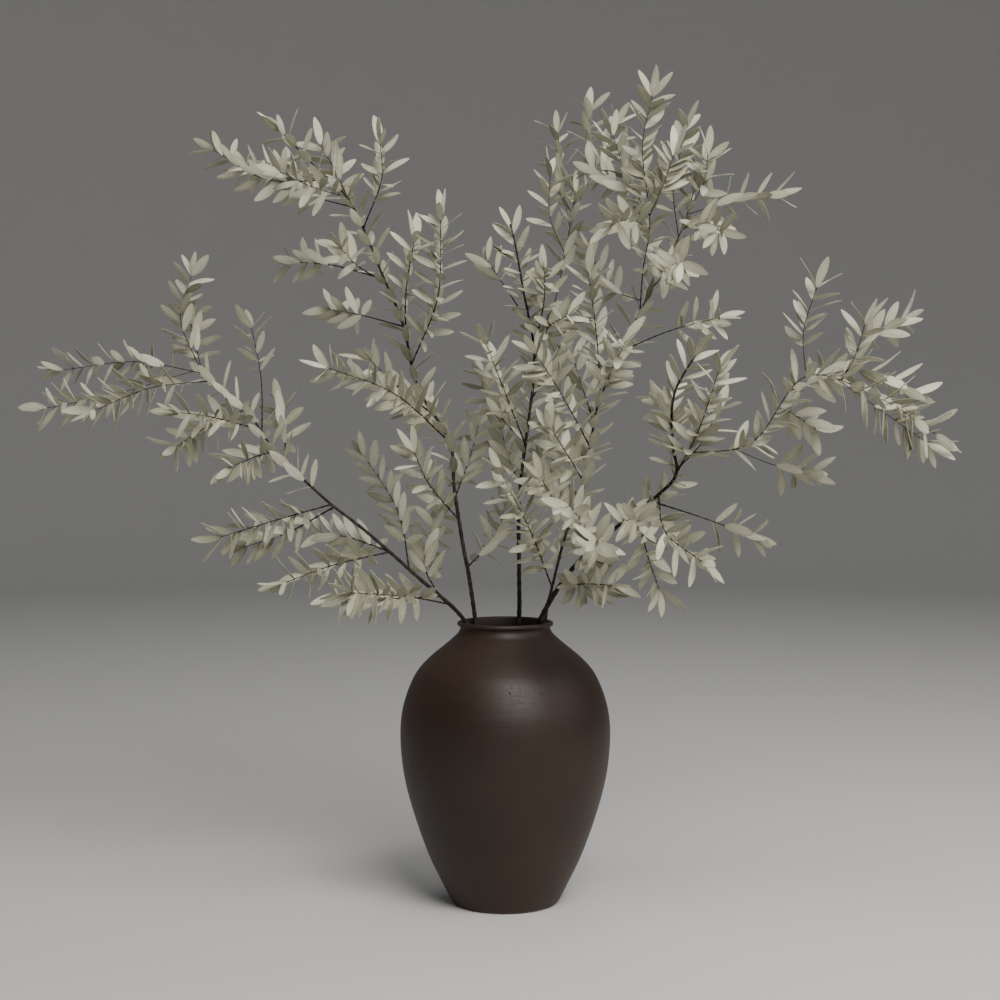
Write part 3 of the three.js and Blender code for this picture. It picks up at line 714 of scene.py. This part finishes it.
# %% The right branch
# It is the thickest, and leans right and towards the front.
right = {
    "node": "branch_right",
    "radius": 0.004,
    "bare": 0.68,
    "stem": [
        (0.009, 0.023, 0.009), (0.014, 0.012, 0.13), (0.025, -0.008, 0.25), (0.0363, -0.0233, 0.3022),
        (0.07, -0.09, 0.365), (0.12, -0.13, 0.415), (0.15, -0.15, 0.44), (0.165, -0.16, 0.46),
        (0.16, -0.17, 0.49), (0.16, -0.185, 0.535), (0.18, -0.2, 0.575),
    ],
    "shoots": [
        leafy((0.165, -0.16, 0.46), (0.18, -0.21, 0.5), (0.195, -0.24, 0.555)),
        leafy((0.16, -0.17, 0.48), (0.16, -0.14, 0.51), (0.158, -0.11, 0.53)),
        leafy((0.17, -0.16, 0.465), (0.19, -0.16, 0.49), (0.205, -0.15, 0.52)),
        leafy((0.075, -0.09, 0.365), (0.085, -0.16, 0.385), (0.085, -0.235, 0.4)),
        leafy((0.085, -0.105, 0.38), (0.075, -0.15, 0.41), (0.06, -0.19, 0.43)),
        leafy((0.055, -0.07, 0.345), (0.08, -0.13, 0.35), (0.105, -0.17, 0.352)),
        worn((0.14, -0.145, 0.435), (0.195, -0.11, 0.415), (0.25, -0.085, 0.395)),
        leafy((0.145, -0.15, 0.44), (0.15, -0.21, 0.405), (0.18, -0.25, 0.38)),
        leafy((0.13, -0.14, 0.425), (0.135, -0.175, 0.385), (0.145, -0.2, 0.35)),
        leafy((0.11, -0.122, 0.404), (0.118, -0.16, 0.415), (0.125, -0.2, 0.415)),
        leafy(
            (0.175, -0.19, 0.475), (0.23, -0.215, 0.49), (0.275, -0.24, 0.55), (0.335, -0.27, 0.53),
            (0.385, -0.29, 0.495)),
        worn((0.215, -0.205, 0.48), (0.26, -0.15, 0.468), (0.305, -0.118, 0.46)),
        leafy((0.255, -0.225, 0.52), (0.275, -0.19, 0.515), (0.3, -0.16, 0.502)),
        leafy((0.275, -0.24, 0.55), (0.27, -0.255, 0.59), (0.28, -0.265, 0.63)),
        leafy((0.3, -0.255, 0.547), (0.343, -0.262, 0.516), (0.378, -0.27, 0.49)),
        leafy((0.305, -0.255, 0.545), (0.315, -0.27, 0.57), (0.32, -0.28, 0.595)),
        worn((0.305, -0.255, 0.545), (0.33, -0.22, 0.58), (0.375, -0.19, 0.605)),
        leafy((0.29, -0.245, 0.55), (0.33, -0.235, 0.555), (0.375, -0.225, 0.535)),
        leafy((0.26, -0.235, 0.535), (0.285, -0.205, 0.545), (0.31, -0.18, 0.555)),
    ],
}

# %% The tall right branch
# It is the thinnest and the tallest, with leaves for more than half its length.
tall_right = {
    "node": "branch_tall_right",
    "radius": 0.0022,
    "bare": 0.45,
    "stem": [
        (-0.009, 0.023, 0.009), (0.006, 0.022, 0.12), (0.032, 0.013, 0.24), (0.0425, 0.008, 0.297),
        (0.045, 0.01, 0.315), (0.05, 0.005, 0.335), (0.06, -0.015, 0.38), (0.07, -0.015, 0.41),
        (0.08, -0.01, 0.43), (0.09, 0, 0.485), (0.1, 0, 0.535), (0.125, 0.02, 0.585),
        (0.145, 0.03, 0.63), (0.175, 0.04, 0.685), (0.195, 0.045, 0.73), (0.205, 0.03, 0.77),
    ],
    "shoots": [
        leafy((0.05, 0.005, 0.335), (0.025, -0.07, 0.4), (-0.005, -0.11, 0.46)),
        leafy((0.1, 0, 0.54), (0.11, -0.05, 0.565), (0.12, -0.09, 0.59)),
        leafy((0.09, 0, 0.485), (0.06, -0.05, 0.535), (0.03, -0.09, 0.58)),
        leafy((0.1, 0, 0.54), (0.095, -0.03, 0.6), (0.085, -0.05, 0.665)),
        leafy((0.095, -0.005, 0.51), (0.085, 0.04, 0.545), (0.075, 0.08, 0.585)),
        worn((0.125, 0.02, 0.59), (0.17, -0.04, 0.605), (0.215, -0.09, 0.615)),
        leafy(
            (0.145, 0.03, 0.63), (0.145, -0.005, 0.67), (0.15, -0.03, 0.72), (0.14, -0.055, 0.79),
            (0.15, -0.06, 0.845)),
        leafy((0.15, -0.03, 0.725), (0.13, 0.01, 0.77), (0.115, 0.03, 0.82)),
        leafy((0.15, -0.03, 0.725), (0.16, -0.06, 0.75), (0.17, -0.075, 0.78)),
        leafy((0.16, 0.04, 0.655), (0.17, -0.04, 0.67), (0.175, -0.1, 0.67)),
        leafy((0.19, 0.045, 0.71), (0.18, 0.02, 0.76), (0.19, 0, 0.82)),
        leafy((0.2, 0.04, 0.74), (0.21, 0, 0.765), (0.21, -0.03, 0.79)),
        leafy((0.2, 0.045, 0.735), (0.25, 0.07, 0.755), (0.3, 0.09, 0.765)),
        leafy((0.195, 0.045, 0.72), (0.21, -0.01, 0.72), (0.22, -0.06, 0.705)),
        leafy((0.145, -0.04, 0.75), (0.12, 0, 0.76), (0.095, 0.04, 0.785)),
        leafy((0.145, -0.03, 0.71), (0.125, -0.08, 0.715), (0.105, -0.115, 0.705)),
        leafy((0.145, 0.02, 0.64), (0.115, 0.07, 0.66), (0.095, 0.11, 0.705)),
        leafy((0.085, -0.005, 0.445), (0.065, -0.05, 0.475), (0.045, -0.08, 0.505)),
        leafy((0.065, -0.015, 0.405), (0.05, -0.06, 0.43), (0.035, -0.095, 0.455)),
    ],
}

# %% All five branches
BRANCHES = {
    "left": left, "tall_left": tall_left, "centre": centre,
    "right": right, "tall_right": tall_right,
}
print("shoots on each branch:", {name: len(branch["shoots"]) for name, branch in BRANCHES.items()})

# %% [markdown]
# ## Growing a shoot
# A shoot is a smooth line that can be asked for the place and direction at any distance along it.
# Leaves need two directions across the shoot as well, and those are turned from the world axis that the
# shoot runs along least, so that they never flip. A side shoot starts at the nearest place on what it
# grew from, which keeps forks joined when a route is changed.

# %% A stem or shoot as a smooth line
ROUTE_STEPS = 14
FOOT_GAP = 0.3 * MM


class Shoot:
    """A smooth line through a route's points, with its length and the thickness at each end."""

    def __init__(self, route, start_radius, end_radius, bare):
        self.points = smooth_route(route, ROUTE_STEPS)
        self.distances = [0.0]
        for start, end in zip(self.points, self.points[1:]):
            self.distances.append(self.distances[-1] + (end - start).length)
        self.length = self.distances[-1]
        self.start_radius = start_radius
        self.end_radius = end_radius
        self.bare = bare
        sizes = [abs(value) for value in self.points[-1] - self.points[0]]
        self.reference = Matrix.Identity(3)[sizes.index(min(sizes))]

    def at(self, distance):
        """Place and direction at a distance along the shoot."""
        distance = min(max(distance, 0.0), self.length)
        index = 1
        while index < len(self.distances) - 1 and self.distances[index] < distance:
            index += 1
        start, end = self.points[index - 1], self.points[index]
        share = (distance - self.distances[index - 1]) / (self.distances[index] - self.distances[index - 1])
        return start.lerp(end, share), (end - start).normalized()

    def radius(self, distance):
        """Thickness at a distance along the shoot, from its axis to its bark."""
        share = min(max(distance / self.length, 0.0), 1.0)
        return self.start_radius + (self.end_radius - self.start_radius) * share

    def nearest(self, place):
        """The distance along the shoot that comes nearest to a place, and how near it comes."""
        gaps = [(point - place).length for point in self.points]
        return self.distances[gaps.index(min(gaps))], min(gaps)


# %% [markdown]
# ## Growing a branch
# The stem thins evenly from its foot to its tip, where it keeps 0.22 of its thickness, and a side
# shoot is always thinner than what carries it. The stem's cut end stands just clear of the vase's
# floor, on its lowest corner, because a hair of space keeps two solid pieces from cutting each other.

# %% A branch: its stem and its shoots
STEM_TAPER = 0.22
SHOOT_RADIUS = 0.85 * MM
SHOOT_TIP_RADIUS = 0.35 * MM
SHOOT_SHARE = 0.72


def grow_branch(branch):
    """The branch's stem and shoots, each side shoot starting on what it grew from."""
    stem = [Vector(point) for point in branch["stem"]]
    lean = (stem[1] - stem[0]).angle(Vector((0, 0, 1)))
    stem[0].z = FLOOR + FOOT_GAP + branch["radius"] * math.sin(lean)
    shoots = [Shoot(stem, branch["radius"], branch["radius"] * STEM_TAPER, branch["bare"])]
    for side_shoot in branch["shoots"]:
        route = [Vector(point) for point in side_shoot["route"]]
        carrier = min(shoots, key=lambda shoot: shoot.nearest(route[0])[1])
        distance, _ = carrier.nearest(route[0])
        route[0] = carrier.at(distance)[0]
        radius = min(SHOOT_RADIUS, SHOOT_SHARE * carrier.radius(distance))
        shoots.append(Shoot(route, radius, SHOOT_TIP_RADIUS, side_shoot["bare"]))
    return shoots


grown = {name: grow_branch(branch) for name, branch in BRANCHES.items()}
print("metres of stem and shoot:", round(sum(s.length for shoots in grown.values() for s in shoots), 2))

# %% [markdown]
# ## Twigs
# A twig could be extruded ring by ring, but a curve does the same and bends better: a curve with a
# round bevel is a tube, and every point can have its own thickness. The points stand a quarter of a
# leaf spacing apart, so every fourth one is where a pair of leaves grows, and there the twig swells
# into a joint. A shoot also flares where it leaves its carrier. The curve is then made a mesh.

# %% Make the twigs of one branch
PAIR_SPACING = 11 * MM
FIRST_PAIR_AT = 0.985
STEM_JOINT = 1.16
SHOOT_JOINT = 1.45
FLARE = 0.5
FLARE_LENGTH = 7 * MM
AT_JOINT = 0.05  # share of the spacing within which a point counts as at a joint
STEM_BEVEL_STEPS = 4
SHOOT_BEVEL_STEPS = 1


def add_tube(curve, shoot, joint):
    """Adds one shoot to a curve as a line of points with their own thickness."""
    step = PAIR_SPACING / 4
    top = FIRST_PAIR_AT * shoot.length
    marks = sorted({0.0, shoot.length, *(top - i * step for i in range(-1, int(top / step) + 1))})
    marks = [mark for mark in marks if 0 <= mark <= shoot.length]
    spline = curve.splines.new("POLY")
    spline.points.add(len(marks) - 1)
    for point, mark in zip(spline.points, marks):
        place, _ = shoot.at(mark)
        pairs = (top - mark) / PAIR_SPACING
        swell = joint if abs(pairs - round(pairs)) < AT_JOINT else 1.0
        swell += FLARE * math.exp(-mark / FLARE_LENGTH)
        point.co = (*place, 1)
        point.radius = shoot.radius(mark) * swell


def make_tubes(name, shoots, joint, bevel_steps):
    """A mesh of round tubes along the shoots, closed at both ends."""
    curve = bpy.data.curves.new(name, "CURVE")
    curve.dimensions = "3D"
    curve.bevel_depth = 1.0
    curve.bevel_resolution = bevel_steps
    curve.use_fill_caps = True
    for shoot in shoots:
        add_tube(curve, shoot, joint)
    tubes = bpy.data.objects.new(name, curve)
    bpy.context.scene.collection.objects.link(tubes)
    start_piece()
    tubes.select_set(True)
    bpy.context.view_layer.objects.active = tubes
    bpy.ops.object.convert(target="MESH")
    bpy.ops.object.shade_smooth_by_angle(angle=math.radians(60))
    return tubes


def make_twigs(name, shoots, node):
    """The stem and the shoots of one branch as one piece."""
    stem = make_tubes(f"stem_{name}", shoots[:1], STEM_JOINT, STEM_BEVEL_STEPS)
    side_shoots = make_tubes(f"shoots_{name}", shoots[1:], SHOOT_JOINT, SHOOT_BEVEL_STEPS)
    stem.select_set(True)
    side_shoots.select_set(True)
    bpy.context.view_layer.objects.active = stem
    bpy.ops.object.join()
    finish_piece(stem, f"twigs_{name}", bark, "twig_bark", node)


for name, shoots in grown.items():
    make_twigs(name, shoots, BRANCHES[name]["node"])

# %% [markdown]
# ## Where the leaves go
# The leaves stand in pairs, and each pair is turned a quarter round the shoot from the last, with one
# leaf at the tip. The fuller side of every branch was turned to the front, so there most pairs have a
# smaller third leaf next to them. Each leaf leans out by about 50 degrees, less near the tip. A
# repeatable number gives every leaf its own lean, roll, size, pattern and tint. Where a leaf would run
# into another branch it is bent round its shoot until it is clear, and left out only if it can't be. A
# k-d tree of points along all the twigs answers what is near.

# %% The twigs as a search tree
SEARCH_STEP = 4 * MM
LEAF_CLEARANCE = 6 * MM
LEAF_PROBES = (0.3, 0.6, 0.95)  # shares of a leaf's length at which its clearance is looked up
BOX_MARGIN = 3 * MM

marks = [
    (shoot.at(i * SEARCH_STEP)[0], name)
    for name, shoots in grown.items()
    for shoot in shoots
    for i in range(int(shoot.length / SEARCH_STEP) + 1)]
twig_places = kdtree.KDTree(len(marks))
for index, (place, _) in enumerate(marks):
    twig_places.insert(place, index)
twig_places.balance()


def is_clear(root, tip, name):
    """Whether a leaf stays in the solids' box and clear of the twigs of all other branches."""
    for low, value, high in zip(cad_low, tip, cad_high):
        if not low - BOX_MARGIN <= value <= high + BOX_MARGIN:
            return False
    for share in LEAF_PROBES:
        for _, index, _ in twig_places.find_range(root.lerp(tip, share), LEAF_CLEARANCE):
            if marks[index][1] != name:
                return False
    return True


# %% Place the leaves of one shoot
LEAF_ANGLE = 52
YOUNG_LEAF_ANGLE = 38
TIP_LEAF_ANGLE = 6
LEAF_ANGLE_JITTER = 7
LEAF_ROLL = 25
AZIMUTH_JITTER = 14
LEAF_VARIATION = 0.12
TINT_BIAS = 1.1
TIP_LEAF_AT = 0.99
LEAF_TURNS = (0, 25, -25, 50, -50, 75, -75)
FRONT_ENDS_AT = 0.0  # along Y; what lies nearer to the viewer is the front
THIRD_LEAF_SHARE = 0.6
THIRD_LEAF_SIZE = 0.9
# Each branch has a block of numbers for its stem and shoots, and each of these a block for its leaves.
CHAIN_NUMBERS = 20
LEAF_NUMBERS = 100


def leaf_frame(shoot, distance, azimuth, angle, roll):
    """The turning and place of a leaf that grows at a distance along a shoot."""
    root, along = shoot.at(distance)
    across = along.cross(shoot.reference).normalized()
    up = across.cross(along)
    outward = across * math.cos(azimuth) + up * math.sin(azimuth)
    direction = along * math.cos(angle) + outward * math.sin(angle)
    face = along * math.sin(angle) - outward * math.cos(angle)
    face.rotate(Matrix.Rotation(roll, 3, direction))
    frame = Matrix((direction, face.cross(direction), face)).transposed().to_4x4()
    frame.translation = root
    return frame


def place_leaf(name, shoot, number, distance, lean, sideways, size):
    """One leaf as a copy of one pattern, or None where another branch is in its way."""
    size *= 1 + LEAF_VARIATION * chance(number, TRAIT["size"])
    angle = math.radians(lean + LEAF_ANGLE_JITTER * chance(number, TRAIT["angle"]))
    roll = math.radians(LEAF_ROLL * chance(number, TRAIT["roll"]))
    sideways += AZIMUTH_JITTER * chance(number, TRAIT["azimuth"])
    for turn in LEAF_TURNS:
        frame = leaf_frame(shoot, distance, math.radians(sideways + turn), angle, roll)
        if is_clear(frame.translation, frame @ Vector((LEAF_LENGTH * size, 0, 0)), name):
            break
    else:
        return None
    pattern = patterns[int((chance(number, TRAIT["pattern"]) + 1) / 2 * len(patterns))]
    mesh = pattern.data.copy()
    broad = 1 + LEAF_VARIATION * chance(number, TRAIT["breadth"])
    mesh.transform(frame @ Matrix.Diagonal((size, size * broad, size, 1)))
    tone = mesh.attributes.new("tone", "FLOAT", "POINT")
    tint = (chance(number, TRAIT["tint"]) + 1) / 2
    tone.data.foreach_set("value", [tint ** TINT_BIAS] * len(mesh.vertices))
    return mesh


def leaves_of(name, shoot, chain_number):
    """Meshes of all the leaves of one shoot, from its tip down."""
    twist = 180 * chance(chain_number, TRAIT["twist"])
    number = chain_number * LEAF_NUMBERS
    tip = shoot.length * TIP_LEAF_AT
    meshes = [place_leaf(name, shoot, number, tip, TIP_LEAF_ANGLE, twist - 90, 1)]
    for pair in range(math.floor(shoot.length * (1 - shoot.bare) / PAIR_SPACING)):
        distance = shoot.length * FIRST_PAIR_AT - pair * PAIR_SPACING
        lean = LEAF_ANGLE if pair else YOUNG_LEAF_ANGLE
        sideways = twist + 90 * pair
        number += 2
        meshes.append(place_leaf(name, shoot, number - 1, distance, lean, sideways + 180, 1))
        meshes.append(place_leaf(name, shoot, number, distance, lean, sideways, 1))
        drawn = (chance(number, TRAIT["third"]) + 1) / 2
        if drawn < THIRD_LEAF_SHARE and shoot.at(distance)[0].y < FRONT_ENDS_AT:
            third = (distance - PAIR_SPACING / 2, LEAF_ANGLE, sideways + 360 * drawn)
            meshes.append(place_leaf(name, shoot, number + 0.5, *third, THIRD_LEAF_SIZE))
    return [mesh for mesh in meshes if mesh]


# %% Join the leaves of each branch
def make_leaves(order, name, shoots, node):
    """All the leaves of one branch as one piece."""
    meshes = []
    for i, shoot in enumerate(shoots):
        meshes += leaves_of(name, shoot, order * CHAIN_NUMBERS + i)
    start_piece()
    for mesh in meshes:
        leaf = bpy.data.objects.new(f"leaf_{name}", mesh)
        bpy.context.scene.collection.objects.link(leaf)
        leaf.select_set(True)
    bpy.context.view_layer.objects.active = leaf
    bpy.ops.object.join()
    finish_piece(leaf, f"leaves_{name}", leaf_skin, "dried_leaves", node)
    return len(meshes)


leaf_counts = [
    make_leaves(order, name, shoots, BRANCHES[name]["node"])
    for order, (name, shoots) in enumerate(grown.items())]
for pattern in patterns:
    bpy.data.objects.remove(pattern)
print("leaves:", leaf_counts, "together", sum(leaf_counts))

# %% [markdown]
# ## The studio
# The object stands in a round pale cove: a flat floor that curves up into a wall far away on every
# side, so that no horizon line crosses the leaves and the picture works from any angle. It starts as a
# disc, and its rim is extruded outward and upward. A large soft lamp from the front, above and to the
# right makes the broad glow on the shoulder and the shadow behind to the left. A weaker one fills from
# the right, and the pale surroundings do the rest.

# %% The pale floor
FLOOR_RADIUS = 4.0
COVE_RADIUS = 2.0
COVE_STEPS = 10
WALL_HEIGHT = 4.0
COVE_SIDES = 96

paint, tree, shader = new_material("pale_floor", 0.85)
shader.inputs["Base Color"].default_value = (0.56, 0.55, 0.53, 1)
start_piece()
bpy.ops.mesh.primitive_circle_add(vertices=COVE_SIDES, radius=FLOOR_RADIUS, fill_type="NGON")
cove = bpy.context.object
cove.name = "studio_floor"
bpy.ops.object.mode_set(mode="EDIT")
bpy.ops.mesh.select_mode(type="EDGE")
bpy.ops.mesh.select_all(action="SELECT")
bpy.ops.mesh.region_to_loop()
bends = [math.pi / 2 * (i + 1) / COVE_STEPS for i in range(COVE_STEPS)]
steps = [
    (FLOOR_RADIUS + COVE_RADIUS * math.sin(bend), COVE_RADIUS * (1 - math.cos(bend)))
    for bend in bends]
steps.append((FLOOR_RADIUS + COVE_RADIUS, WALL_HEIGHT))
radius, height = FLOOR_RADIUS, 0.0
for next_radius, next_height in steps:
    rise = (0, 0, next_height - height)
    bpy.ops.mesh.extrude_edges_move(TRANSFORM_OT_translate={"value": rise})
    grow = next_radius / radius
    bpy.ops.transform.resize(value=(grow, grow, 1))
    radius, height = next_radius, next_height
bpy.ops.object.mode_set(mode="OBJECT")
bpy.ops.object.shade_smooth_by_angle(angle=math.radians(30))
cove.data.materials.append(paint)
cove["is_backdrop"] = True

# %% The lamps
AIM = Vector((0, 0, 0.42))


def add_lamp(name, azimuth, elevation, distance, size, power, colour):
    """A square soft lamp that looks at the object. Azimuth 0 is the camera's side, and 90 is the right."""
    a, e = math.radians(azimuth), math.radians(elevation)
    toward = Vector((math.sin(a) * math.cos(e), -math.cos(a) * math.cos(e), math.sin(e)))
    turn = toward.to_track_quat("Z", "Y").to_euler()
    bpy.ops.object.light_add(type="AREA", location=AIM + toward * distance, rotation=turn)
    lamp = bpy.context.object
    lamp.name = name
    lamp.data.shape = "SQUARE"
    lamp.data.size = size
    lamp.data.energy = power
    lamp.data.color = colour
    lamp.visible_camera = False


add_lamp("key_lamp", 22, 42, 2.0, 1.2, 62, (1.0, 0.98, 0.95))
add_lamp("fill_lamp", 72, 26, 2.2, 1.6, 12, (1.0, 0.99, 0.97))
add_lamp("back_lamp", 170, 62, 3.0, 1.6, 16, (1.0, 1.0, 1.0))

world = bpy.data.worlds.new("studio_air")
world.use_nodes = True
world.node_tree.nodes["Background"].inputs["Color"].default_value = (0.9, 0.93, 1.0, 1)
world.node_tree.nodes["Background"].inputs["Strength"].default_value = 0.22
bpy.context.scene.world = world

# %% [markdown]
# ## Compare the sizes and finish
# The dressed object must fill the same box as the solids. Both boxes are printed side by side.

# %% Write the sizes and finish
low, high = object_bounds()
for axis, c0, c1, v0, v1 in zip("XYZ", cad_low, cad_high, low, high):
    print(axis, "solids", round(c0, 4), round(c1, 4), "dressed", round(v0, 4), round(v1, 4))
